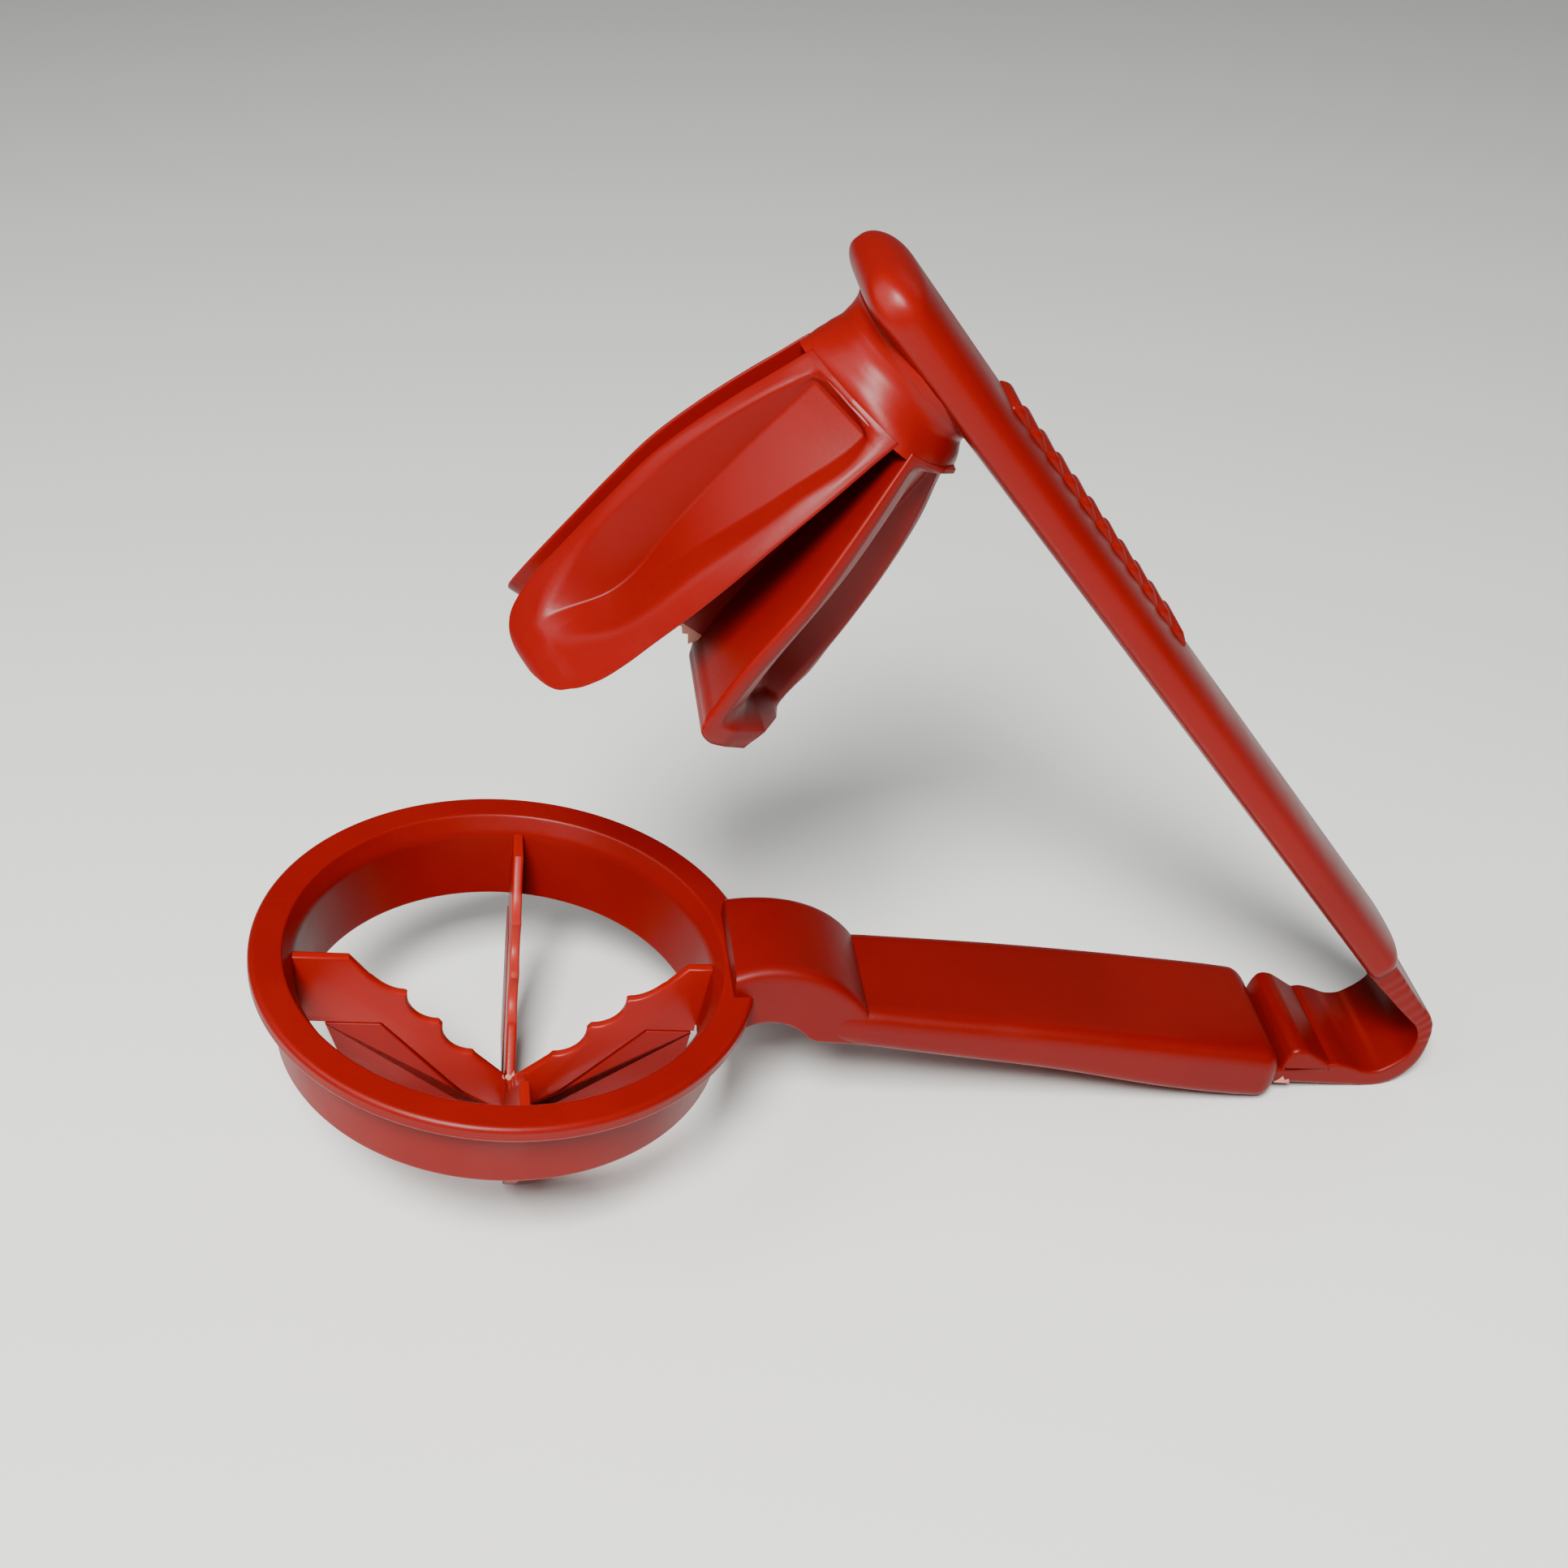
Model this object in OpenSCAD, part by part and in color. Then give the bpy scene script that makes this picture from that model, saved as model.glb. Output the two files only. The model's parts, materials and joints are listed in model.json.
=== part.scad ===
// Hand-squeezed fruit wedger, moulded in polypropylene. Millimetres, +Z up,
// +X towards the hinge, standing open on the table plane Z = 0.

/* [Ring] */
// outer diameter of the ring's flange
ring_d = 70; // [60:0.5:84]
// height of the ring wall below the flange's top face
ring_h = 13.3; // [10:0.1:18]
// thickness of the flange
flange_t = 2.6; // [2:0.1:3.5]

/* [Blades] */
// thickness of the thin cutting part of each blade
blade_t = 1.5; // [1.2:0.1:1.9]
// thickness of the stiffening rib under each blade
rib_t = 2.0; // [1.8:0.1:2.6]
// offset of the blade cross from the ring's axis, towards the hinge
cross_x = 2.1; // [1.5:0.1:2.6]

/* [Handles] */
// half width of both handles
handle_w = 10.5; // [9.5:0.1:11.5]
// thickness of the upper handle
bar_t = 6.3; // [6:0.1:7]
// height of one grip ridge
ridge_h = 1; // [0.6:0.1:1.3]

/* [Hinge] */
// half width of the flexible strap
strap_w = 9.1; // [8:0.1:10]

/* [Plunger] */
// half width of the lengthwise slot between the pods
slot_w = 1.9; // [1.7:0.1:2.1]
// half length of the central core along the cross slot
core_w = 3.2; // [3:0.1:3.5]
// half length of the central core along the lengthwise slot's width
core_y = 4.0; // [3.6:0.1:4.4]

/* [Hidden] */
$fn = 96;
u = ring_d / 2;
tilt = 8.62;
lean = 31.7;
bar_a = 45.37;
O = [1.094, 0, 2.458] * u;
B = [1.289, 0, 2.476] * u;
hub_x = cross_x;
bt = blade_t / 2;
rt = rib_t / 2;
wall_r = 0.905 * u;
off = [-50.33, 0, 33.87];

module place() translate(off * u / 35) rotate([0, tilt, 0]) children();
module side(w) rotate([90, 0, 0]) translate([0, 0, -w]) linear_extrude(2 * w) children();

// ---------- ring ----------
module ring_wall() color("tomato") place() rotate_extrude($fn = 128)
    polygon([[0.802 * u, -ring_h], [0.894 * u - 0.35, -ring_h], [0.894 * u, -ring_h + 0.35], [wall_r, -flange_t], [wall_r, 0],
             [0.872 * u + 0.35, 0], [0.872 * u, -0.35], [0.830 * u, -0.075 * u]]);

module ring_flange() color("orangered") place() rotate_extrude($fn = 128)
    polygon([[wall_r, -flange_t], [u - 0.8, -flange_t], [u - 0.25, -flange_t + 0.3], [u, -flange_t + 0.95], [u, -0.95], [u - 0.25, -0.3], [u - 0.8, 0], [wall_r, 0]]);

// ---------- blade cross ----------
// distance from the hub and height of the cutting edge, hub to wall
top_edge = concat(
    [[0.149, -0.592]],
    [for (i = [0:6]) let (q = 90 * i / 6) [0.294 - 0.13 * (1 - sin(q)) , -0.592 + 0.02 + 0.13 * (1 - cos(q))]],
    [[0.294, -0.425]],
    [for (i = [0:6]) let (q = 90 * i / 6) [0.442 - 0.132 * (1 - sin(q)), -0.425 + 0.02 + 0.132 * (1 - cos(q))]],
    [[0.442, -0.257]],
    [[0.456, -0.251], [0.49, -0.245], [0.525, -0.228], [0.556, -0.205], [0.58, -0.182], [0.594, -0.171], [0.675, -0.073]]);
hub_u = rt / u;
hub_z = -0.734 + 0.953 * hub_u;
foot_z = -0.90;
foot_u = 0.1128;

module blade_shape() polygon(concat([[hub_u, hub_z]], top_edge, [[0.99, -0.073], [0.99, -0.415], [0.54, -0.415], [foot_u, foot_z], [hub_u, foot_z]]) * u);
module rib_shape() polygon([[foot_u, foot_z], [0.54, -0.415], [0.763, -0.415], [0.706, -0.578], [0.680, -0.600], [0.455, -0.872], [0.43, foot_z]] * u);

module within_ring() intersection() {
    children();
    union() {
        rotate_extrude($fn = 128) polygon([[0, 0], [0.83 * u, 0], [0.830 * u, -0.075 * u], [0.802 * u, -ring_h], [0, -ring_h]]);
        translate([0, 0, -1.2 * u]) cylinder(r = 0.790 * u, h = 1.2 * u - ring_h, $fn = 128);
    }
}
module arm(a) translate([hub_x, 0, 0]) rotate([0, 0, a]) children();

module blade_left() color("crimson") place() within_ring() arm(180) side(bt) blade_shape();
module blade_right() color("crimson") place() within_ring() arm(0) side(bt) blade_shape();
module blade_near() color("firebrick") place() within_ring() arm(270) side(bt) blade_shape();
module blade_far() color("firebrick") place() within_ring() arm(90) side(bt) blade_shape();
module rib_left() color("salmon") place() within_ring() arm(180) side(rt) rib_shape();
module rib_right() color("salmon") place() within_ring() arm(0) side(rt) rib_shape();
module rib_near() color("coral") place() within_ring() arm(270) side(rt) rib_shape();
module rib_far() color("coral") place() within_ring() arm(90) side(rt) rib_shape();
module blade_hub() color("darkred") place() translate([hub_x - rt, -rt, foot_z * u]) cube([2 * rt, 2 * rt, (hub_z - foot_z) * u]);

// ---------- lower handle ----------
module neck_arch() translate([1.06 * u, 0, -0.36 * u]) rotate([90, 0, 0]) rotate_extrude(angle = 180, $fn = 96)
    polygon([for (p = [[0.21, -0.255], [0.425, -0.255], [0.455, -0.245], [0.478, -0.215], [0.485, -0.18], [0.485, 0.18], [0.478, 0.215], [0.455, 0.245], [0.425, 0.255], [0.21, 0.255]]) p * u]);
module neck() color("orange") place() difference() {
    neck_arch();
    translate([1.42 * u, -u, -u]) cube([u, 2 * u, 2 * u]);
    translate([0, -u, -1.245 * u]) cube([2 * u, 2 * u, u]);
    translate([0, 0, -u]) cylinder(r = wall_r, h = 2 * u, $fn = 128);
    translate([0.88 * u, -u, 0]) rotate([0, -40, 0]) translate([-u, 0, 0]) cube([2 * u, 2 * u, u]);
    rotate_extrude($fn = 128) polygon([[0, -flange_t], [u - 0.8, -flange_t], [u - 0.25, -flange_t + 0.3], [u, -flange_t + 0.95], [u, -0.95], [u - 0.25, -0.3], [u - 0.8, 0], [0, 0]]);
}

// sections of the lower handle: position, half width, top, bottom
handle_at = [[1.30, 0.278, -0.060, -0.232], [2.25, 0.30, -0.118, -0.33], [2.85, 0.312, -0.172, -0.425], [3.23, 0.315, -0.215, -0.452]];
module handle_body() hull() for (q = handle_at) for (s = [-1, 1]) for (z = [q[2] - 0.065, q[3] + 0.065])
    translate([q[0] * u, s * (handle_w + (q[1] - 0.30 - 0.065) * u), z * u]) sphere(r = 0.065 * u, $fn = 32);
module lower_handle() color("red") place() intersection() {
    handle_body();
    translate([1.42 * u, -u, -u]) cube([2 * u, 2 * u, 2 * u]);
}

// ---------- hinge strap ----------
ridge_top = [[3.335, -0.225], [3.36, -0.212], [3.40, -0.216], [3.45, -0.245], [3.50, -0.275], [3.538, -0.288]];
module strap_ridge() color("gold") place() side(strap_w) polygon(concat([[3.305, -0.330], [3.318, -0.262]], ridge_top, [[3.538, -0.330]]) * u);
module strap_lower() color("khaki") place() difference() {
    side(strap_w) polygon([[3.20, -0.330], [3.538, -0.330], [3.538, -0.288], [3.575, -0.289], [3.63, -0.303], [3.697, -0.327], [3.755, -0.322],
        [3.80, -0.402], [3.725, -0.414], [3.62, -0.412], [3.50, -0.408], [3.20, -0.405]] * u);
    handle_body();
}
module strap_bend() color("yellowgreen") place() side(strap_w) polygon([[3.755, -0.322], [3.798, -0.295], [3.84, -0.255], [3.865, -0.215], [3.875, -0.16], [3.868, -0.11], [3.84, -0.06],
    [3.895, -0.004], [3.925, -0.061], [3.938, -0.15], [3.932, -0.242], [3.905, -0.31], [3.862, -0.366], [3.80, -0.402]] * u);
module bar_disc(x, r, w, t) for (s = [-1, 1]) translate([x * u, s * (w - r * u), 0]) rounded_disc(r * u, t);
module bar() translate(B) rotate([0, bar_a, 0]) {
    hull() {
        bar_disc(-0.597 + 0.17, 0.17, handle_w, bar_t + 0.6);
        bar_disc(0.15, 0.12, handle_w, bar_t + 0.1);
    }
    hull() {
        bar_disc(0.15, 0.12, handle_w, bar_t + 0.1);
        bar_disc(3.25 - 0.10, 0.10, handle_w - 0.3, bar_t - 0.3);
    }
}
// a disc with a small radius round its lower edge and a large one round its upper edge
module rounded_disc(r, t) rotate_extrude($fn = 48) polygon(concat([[0, 0]],
    [for (q = [0:18:90]) [r - 0.05 * u * (1 - sin(q)), 0.05 * u * (1 - cos(q))]],
    [for (q = [0:15:90]) [r - 0.09 * u * (1 - cos(q)), t - 0.09 * u * (1 - sin(q))]], [[0, t]]));
module strap_upper() color("olive") place() difference() {
    side(strap_w) polygon([[3.895, -0.004], [3.84, -0.06], [3.793, -0.019], [3.725, 0.04], [3.657, 0.101], [3.603, 0.149], [3.52, 0.225],
        [3.60, 0.305], [3.679, 0.224], [3.745, 0.152], [3.815, 0.075]] * u);
    bar();
}

// ---------- upper handle ----------
module upper_handle() color("deepskyblue") place() bar();
ridge_n = 11;
ridge_p = 0.1127 * u;
module grip_ridges() color("navy") place() difference() {
    grip_teeth();
    bar();
}
module grip_teeth() translate(B) rotate([0, bar_a, 0]) translate([0.105 * u, 0, bar_t])
    side(0.11 * u) rotate(-0.06) polygon(concat([[0, -0.2]], [for (i = [0:ridge_n - 1]) each [[i * ridge_p, ridge_h * 0.3], [i * ridge_p + 0.25 * ridge_p, ridge_h * 0.95], [i * ridge_p + 0.45 * ridge_p, ridge_h]]],
        [[ridge_n * ridge_p, ridge_h * 0.3], [ridge_n * ridge_p, -0.2]]));

// ---------- plunger ----------
module lever_axis() translate(O) rotate([0, lean, 0]) children();
module collar() color("aqua") place() difference() {
    lever_axis() translate([-0.03 * u, 0, 0.085 * u]) cylinder(r1 = 0.27 * u, r2 = 0.285 * u, h = 0.5 * u);
    translate(B) rotate([0, bar_a, 0]) translate([-2 * u, -u, 0]) cube([4 * u, 2 * u, 2 * u]);
}
module crown() color("teal") place() lever_axis() translate([-0.03 * u, 0, 0]) rotate_extrude() polygon([[0, 0], [0.338, 0], [0.32, 0.03], [0.295, 0.065], [0.27, 0.085], [0, 0.085]] * u);
module core() color("mediumpurple") place() lever_axis() translate([-core_w + 0.3, -core_y, -1.04 * u]) cube([2 * core_w - 0.6, 2 * core_y, 1.04 * u]);

function ring_of(a) = [for (q = [0:7.5:359]) a * [sign(cos(q)) * pow(abs(cos(q)), 2 / 1.5), sign(sin(q)) * pow(abs(sin(q)), 2 / 1.5)]];
env = [[-0.0005, 0.37], [-0.1, 0.405], [-0.27, 0.465], [-0.4, 0.505], [-0.6, 0.552], [-0.8, 0.572], [-1.0, 0.587], [-1.2, 0.604], [-1.45, 0.618]];
module envelope() hull() for (e = env) translate([0, 0, (e[0] - 0.0005) * u]) linear_extrude(0.001 * u) polygon(ring_of(e[1]) * u);
// the pod's own block: paddle-side pods are longer and lean away from the cross slot
module pod_block(long) intersection() {
    envelope();
    if (long) side(u) polygon([[-0.03, 0], [-0.08, -0.18], [-0.158, -0.5], [-0.218, -0.84], [-0.25, -1.01], [-0.272, -1.13], [-0.30, -1.24], [-0.34, -1.33],
        [-0.395, -1.395], [-0.45, -1.42], [-0.52, -1.43], [-0.7, -1.43], [-0.7, 0]] * u);
    else side(u) polygon([[0.02, 0], [0.02, -1.03], [0.03, -1.10], [0.055, -1.15], [0.11, -1.17], [0.187, -1.172], [0.28, -1.16], [0.40, -1.12], [0.455, -1.06], [0.465, -1.0], [0.44, -0.8], [0.415, -0.6], [0.385, -0.4], [0.34, -0.2], [0.27, 0]] * u);
    rotate([0, 0, 90]) side(u) polygon(long
        ? [[-slot_w / u, 0], [-slot_w / u, -1.23], [-0.07, -1.29], [-0.115, -1.37], [-0.175, -1.415], [-0.25, -1.43], [-0.7, -1.43], [-0.7, 0]] * u
        : [[-slot_w / u, 0], [-slot_w / u, -1.05], [-0.08, -1.11], [-0.14, -1.165], [-0.21, -1.19], [-0.7, -1.19], [-0.7, 0]] * u);
}
module slice(z, pts) translate([0, 0, z * u]) linear_extrude(0.002 * u) polygon(pts * u);
module pocket(long) hull() {
    if (long) {
        slice(-0.03, [[-0.30, -0.14], [-0.29, -0.135], [-0.13, -0.27], [-0.5, -0.9], [-0.9, -0.5]]);
        slice(-0.35, [[-0.43, -0.15], [-0.34, -0.13], [-0.19, -0.40], [-0.5, -0.9], [-0.9, -0.5]]);
        slice(-1.06, [[-0.52, -0.155], [-0.365, -0.14], [-0.32, -0.40], [-0.5, -0.9], [-0.9, -0.5]]);
        slice(-1.30, [[-0.53, -0.22], [-0.46, -0.24], [-0.40, -0.36], [-0.5, -0.9], [-0.9, -0.5]]);
    } else {
        slice(-0.05, [[0.30, -0.12], [0.28, -0.13], [0.11, -0.29], [0.5, -0.9], [0.9, -0.5]]);
        slice(-0.35, [[0.42, -0.14], [0.28, -0.13], [0.13, -0.40], [0.5, -0.9], [0.9, -0.5]]);
        slice(-0.90, [[0.44, -0.15], [0.30, -0.14], [0.15, -0.44], [0.5, -0.9], [0.9, -0.5]]);
        slice(-1.05, [[0.42, -0.20], [0.36, -0.22], [0.23, -0.38], [0.5, -0.9], [0.9, -0.5]]);
    }
}
module pod(long) lever_axis() difference() {
    pod_block(long);
    pocket(long);
    translate([-core_w + 0.3, -core_y, -2 * u]) cube([2 * core_w - 0.6, 2 * core_y, 3 * u]);
}
module pod_near_outer() color("dodgerblue") place() pod(true);
module pod_near_inner() color("royalblue") place() pod(false);
module pod_far_outer() color("slateblue") place() mirror([0, 1, 0]) pod(true);
module pod_far_inner() color("blueviolet") place() mirror([0, 1, 0]) pod(false);

ring_wall();
ring_flange();
blade_left();
blade_right();
blade_near();
blade_far();
rib_left();
rib_right();
rib_near();
rib_far();
blade_hub();
neck();
lower_handle();
strap_ridge();
strap_lower();
strap_bend();
strap_upper();
upper_handle();
grip_ridges();
collar();
crown();
core();
pod_near_outer();
pod_near_inner();
pod_far_outer();
pod_far_inner();
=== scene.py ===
import json

import bmesh
import bpy
import numpy as np
from mathutils import Matrix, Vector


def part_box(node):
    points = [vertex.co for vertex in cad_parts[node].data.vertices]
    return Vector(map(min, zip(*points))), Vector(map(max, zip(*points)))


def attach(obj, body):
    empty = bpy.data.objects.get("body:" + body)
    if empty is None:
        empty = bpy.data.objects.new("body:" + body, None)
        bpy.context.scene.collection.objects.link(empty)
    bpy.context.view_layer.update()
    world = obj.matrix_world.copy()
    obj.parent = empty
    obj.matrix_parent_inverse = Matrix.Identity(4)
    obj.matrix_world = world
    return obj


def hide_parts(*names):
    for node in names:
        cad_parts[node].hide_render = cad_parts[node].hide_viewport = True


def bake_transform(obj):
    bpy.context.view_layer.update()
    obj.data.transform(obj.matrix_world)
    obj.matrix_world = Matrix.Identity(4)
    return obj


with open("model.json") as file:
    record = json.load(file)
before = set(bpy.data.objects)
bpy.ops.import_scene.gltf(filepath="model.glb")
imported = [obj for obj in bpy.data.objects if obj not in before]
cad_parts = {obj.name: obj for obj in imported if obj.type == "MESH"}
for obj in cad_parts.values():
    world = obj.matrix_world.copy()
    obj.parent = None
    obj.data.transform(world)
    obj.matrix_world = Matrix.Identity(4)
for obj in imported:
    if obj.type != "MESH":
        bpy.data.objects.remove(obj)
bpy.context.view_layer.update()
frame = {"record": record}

# ---- Ring ----
# The ring that the fruit sits in: a tapered wall with a flat flange on top and a chamfered mouth.
# Polypropylene, moulded in one with the blades and the lower handle, so a fine parting line runs
# round the flange's rim.
u = (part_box("ring_flange")[1][1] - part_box("ring_flange")[0][1]) / 2
ring_up = -np.array(frame["record"]["mounts"][0]["axis"], float)
ring_turn = np.array([[ring_up[2], 0, ring_up[0]], [0, 1, 0], [-ring_up[0], 0, ring_up[2]]])
flange_half = 0.0013
ring_middle = np.mean([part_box("ring_flange")[0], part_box("ring_flange")[1]], axis=0) + ring_up * flange_half


def from_ring(p):
    """Points given in ring radii from the middle of the flange's top, turned and moved into the row frame."""
    return ring_middle + u * np.asarray(p, float) @ ring_turn.T


def curve(at, knots, values):
    """Smooth line through knots: cubic pieces whose slope at each knot is the mean slope beside it."""
    knots, values = np.asarray(knots, float), np.asarray(values, float)
    slope = np.gradient(values, knots, axis=0)
    i = np.clip(np.searchsorted(knots, at) - 1, 0, len(knots) - 2)
    h = knots[i + 1] - knots[i]
    t = np.clip((at - knots[i]) / h, 0, 1)
    if values.ndim > 1:
        h, t = h[:, None], t[:, None]
    return ((1 + 2 * t) * (1 - t) ** 2 * values[i] + t * (1 - t) ** 2 * h * slope[i]
            + t * t * (3 - 2 * t) * values[i + 1] - t * t * (1 - t) * h * slope[i + 1])


def rounded(corners, reach, n=6):
    """Closed outlines, one or a stack, with worn corners: n points of the parabola that leaves one side
    a reach before the corner and meets the next a reach after it, and one more point on each side."""
    p = np.asarray(corners, float)
    back, on = np.roll(p, 1, -2) - p, np.roll(p, -1, -2) - p
    lb, lo = np.maximum(np.linalg.norm(back, axis=-1), 1e-9), np.maximum(np.linalg.norm(on, axis=-1), 1e-9)
    d = np.minimum(np.broadcast_to(reach, lb.shape), 0.42 * np.minimum(lb, lo))
    e = np.minimum(1.35 * d + 0.002, 0.46 * np.minimum(lb, lo))
    back, on = back / lb[..., None], on / lo[..., None]
    t = np.linspace(0, 1, n)[:, None]
    start, end = (p + back * d[..., None])[..., None, :], (p + on * d[..., None])[..., None, :]
    arc = (1 - t) ** 2 * start + 2 * t * (1 - t) * p[..., None, :] + t * t * end
    arc = np.concatenate([(p + back * e[..., None])[..., None, :], arc, (p + on * e[..., None])[..., None, :]],
                         axis=-2)
    return arc.reshape(*p.shape[:-2], -1, 2)


def moulding(name, rings, body, stands_for, finish, thin=None, closed=False, sharp=38, ends_flat=True):
    """One moulded piece: a skin of quads through a stack of rings of points. The first and last ring are
    filled in, or joined to each other where the stack runs round in a circle."""
    m, n = rings.shape[:2]
    i, j = np.meshgrid(np.arange(m if closed else m - 1), np.arange(n), indexing="ij")
    a, b = i * n + j, i * n + (j + 1) % n
    step = np.where(i == m - 1, -(m - 1) * n, n)
    quads = np.stack([a, b, b + step, a + step], -1).reshape(-1, 4).tolist()
    caps = [] if closed else [list(range(n)), list(range((m - 1) * n, m * n))]
    mesh = bpy.data.meshes.new(name)
    mesh.from_pydata(rings.reshape(-1, 3).tolist(), [], quads + caps)
    mark = mesh.attributes.new("thin", "FLOAT", "POINT")
    mark.data.foreach_set("value", np.broadcast_to(0.0 if thin is None else thin, (m, n)).astype(np.float32).ravel())
    smooth = np.ones(len(mesh.polygons), bool)
    if caps and ends_flat:
        smooth[-2:] = False
    mesh.polygons.foreach_set("use_smooth", smooth)
    skin = bmesh.new()
    skin.from_mesh(mesh)
    bmesh.ops.recalc_face_normals(skin, faces=skin.faces)
    skin.to_mesh(mesh)
    skin.free()
    mesh.set_sharp_from_angle(angle=np.radians(sharp))
    mesh.materials.append(finish)
    piece = bpy.data.objects.new(name, mesh)
    bpy.context.scene.collection.objects.link(piece)
    if body:
        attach(piece, body)
    if stands_for:
        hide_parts(*stands_for)
    return piece


def polypropylene(name, red, deep, pale=(0.50, 0.07, 0.05), rough=0.38):
    """Satin moulded polypropylene: pigment clouds that drift between two reds, faint flow marks, a fine
    orange-peel grain in the bump, and a paler colour by the piece's own mark, for stress whitening and for a painted
    highlight."""
    material = bpy.data.materials.new(name)
    material.use_nodes = True
    nodes, links = material.node_tree.nodes, material.node_tree.links
    shader = nodes["Principled BSDF"]
    place = nodes.new("ShaderNodeTexCoord")

    def noise(scale, detail):
        """Cloudy noise on the piece's own coordinates."""
        clouds = nodes.new("ShaderNodeTexNoise")
        clouds.inputs["Scale"].default_value, clouds.inputs["Detail"].default_value = scale, detail
        links.new(place.outputs["Object"], clouds.inputs["Vector"])
        return clouds.outputs["Fac"]

    def bump(height, strength, distance):
        """A bump node that raises the surface by a height."""
        relief = nodes.new("ShaderNodeBump")
        relief.inputs["Strength"].default_value, relief.inputs["Distance"].default_value = strength, distance
        links.new(height, relief.inputs["Height"])
        return relief

    pigment = nodes.new("ShaderNodeValToRGB")
    low, high = pigment.color_ramp.elements
    low.position, high.position = 0.32, 0.68
    low.color, high.color = (*deep, 1), (*red, 1)
    links.new(noise(38, 4), pigment.inputs["Fac"])
    # The piece's own mark pales the colour: real stress whitening inside the strap's bend, a painted highlight along
    # the blades' cutting edges.
    thin = nodes.new("ShaderNodeAttribute")
    thin.attribute_name = "thin"
    pale_blend = nodes.new("ShaderNodeMix")
    pale_blend.data_type = "RGBA"
    pale_blend.inputs["B"].default_value = (*pale, 1)
    links.new(thin.outputs["Fac"], pale_blend.inputs["Factor"])
    links.new(pigment.outputs["Color"], pale_blend.inputs["A"])
    links.new(pale_blend.outputs["Result"], shader.inputs["Base Color"])
    sheen = nodes.new("ShaderNodeMapRange")
    sheen.inputs["From Min"].default_value, sheen.inputs["From Max"].default_value = 0.3, 0.7
    sheen.inputs["To Min"].default_value, sheen.inputs["To Max"].default_value = rough - 0.05, rough + 0.07
    links.new(noise(90, 6), sheen.inputs["Value"])
    links.new(sheen.outputs["Result"], shader.inputs["Roughness"])
    orange_peel = bump(noise(1500, 2), 0.06, 0.0002)
    flow_marks = bump(noise(140, 3), 0.05, 0.001)
    links.new(orange_peel.outputs["Normal"], flow_marks.inputs["Normal"])
    links.new(flow_marks.outputs["Normal"], shader.inputs["Normal"])
    shader.inputs["IOR"].default_value = 1.49
    shader.inputs["Specular IOR Level"].default_value = 0.18
    shader.inputs["Subsurface Weight"].default_value = 0.12
    shader.inputs["Subsurface Radius"].default_value = (1.0, 0.12, 0.06)
    shader.inputs["Subsurface Scale"].default_value = 0.0025
    return material


# The tool is one red plastic. This red and the upper handle's are the plain one. Other parts get lighter or darker
# copies of it, set to the light and shade each part shows: painted light and shade.
ring_red = polypropylene("red_polypropylene_ring", (0.18, 0.0019, 0.0007), (0.15, 0.0014, 0.0005))
ring_profile = rounded([(0.802, -0.380), (0.894, -0.380), (0.904, -0.076), (0.985, -0.074), (1.0, -0.058),
                        (0.9995, -0.040), (1.0, -0.038), (0.9995, -0.036), (1.0, -0.014), (0.985, 0.0), (0.872, 0.0),
                        (0.830, -0.075)],
                       [0.008, 0.010, 0.020, 0.012, 0.012, 0.001, 0.001, 0.001, 0.010, 0.010, 0.008, 0.020], 5)
around = np.linspace(0, 2 * np.pi, 360, endpoint=False)[:, None]
ring_skin = np.stack([ring_profile[:, 0] * np.cos(around), ring_profile[:, 0] * np.sin(around), ring_profile[:, 1]
                      + 0 * around], -1)
moulding("ring", from_ring(ring_skin), "base", ["ring_wall", "ring_flange"], ring_red, closed=True)

# ---- Ejector marks ----
# Three shallow round witness marks on the flange, where pins pushed the moulding out of its mould.
# Same polypropylene, standing a few hundredths of a millimetre proud.
mark_at = np.radians([168.9, -81.1, 81.1])
mark_circle = 0.930
mark_profile = np.array([[0.043, -0.004], [0.043, 0.0003], [0.041, 0.0008], [0.038, 0.0010]])
pin = np.linspace(0, 2 * np.pi, 40, endpoint=False)
for k, turn in enumerate(mark_at):
    mark_x = mark_circle * np.cos(turn) + mark_profile[:, :1] * np.cos(pin)
    mark_y = mark_circle * np.sin(turn) + mark_profile[:, :1] * np.sin(pin)
    disc = np.stack([mark_x, mark_y, mark_profile[:, 1:] + 0 * pin], -1)
    moulding(f"ejector_mark_{k + 1}", from_ring(disc), "base", [], ring_red)

# ---- Blades ----
# Four thin blades that cut the fruit into wedges. Each runs from the ring's wall down to the middle in
# a V, with a cutting edge of three scallops. Moulded with the ring; so thin that light comes through the edge.
blade_half = 0.00075 / u
cross_middle = 0.060
# A lighter copy of the one red, on the blades: painted light.
blade_red_painted_light = polypropylene("red_polypropylene_thin", (0.25, 0.0030, 0.0010), (0.20, 0.0022, 0.0008), rough=0.36)


def plate(outline, half, edge, steps=4):
    """Rings of a flat plate lying in the x-z plane: its outline at full size in the middle, drawn in along
    the bisectors of its corners by a quarter circle of the edge's radius towards each face."""
    p = np.asarray(outline, float)
    along = np.roll(p, -1, 0) - np.roll(p, 1, 0)
    side = np.stack([along[:, 1], -along[:, 0]], -1)
    side /= np.maximum(np.linalg.norm(side, axis=1), 1e-9)[:, None]
    x, z = p.T
    side *= np.sign(np.sum(x * np.roll(z, -1) - z * np.roll(x, -1)))
    q = np.linspace(0, np.pi / 2, steps + 1)
    inset, depth = edge * (1 - np.sin(q)), half - edge * (1 - np.cos(q))
    inset, depth = np.r_[inset, inset[::-1]], np.r_[-depth, depth[::-1]]
    drawn = p[None] - side[None] * inset[:, None, None]
    return np.stack([drawn[..., 0], np.broadcast_to(depth[:, None], drawn.shape[:2]), drawn[..., 1]], -1)


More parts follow.
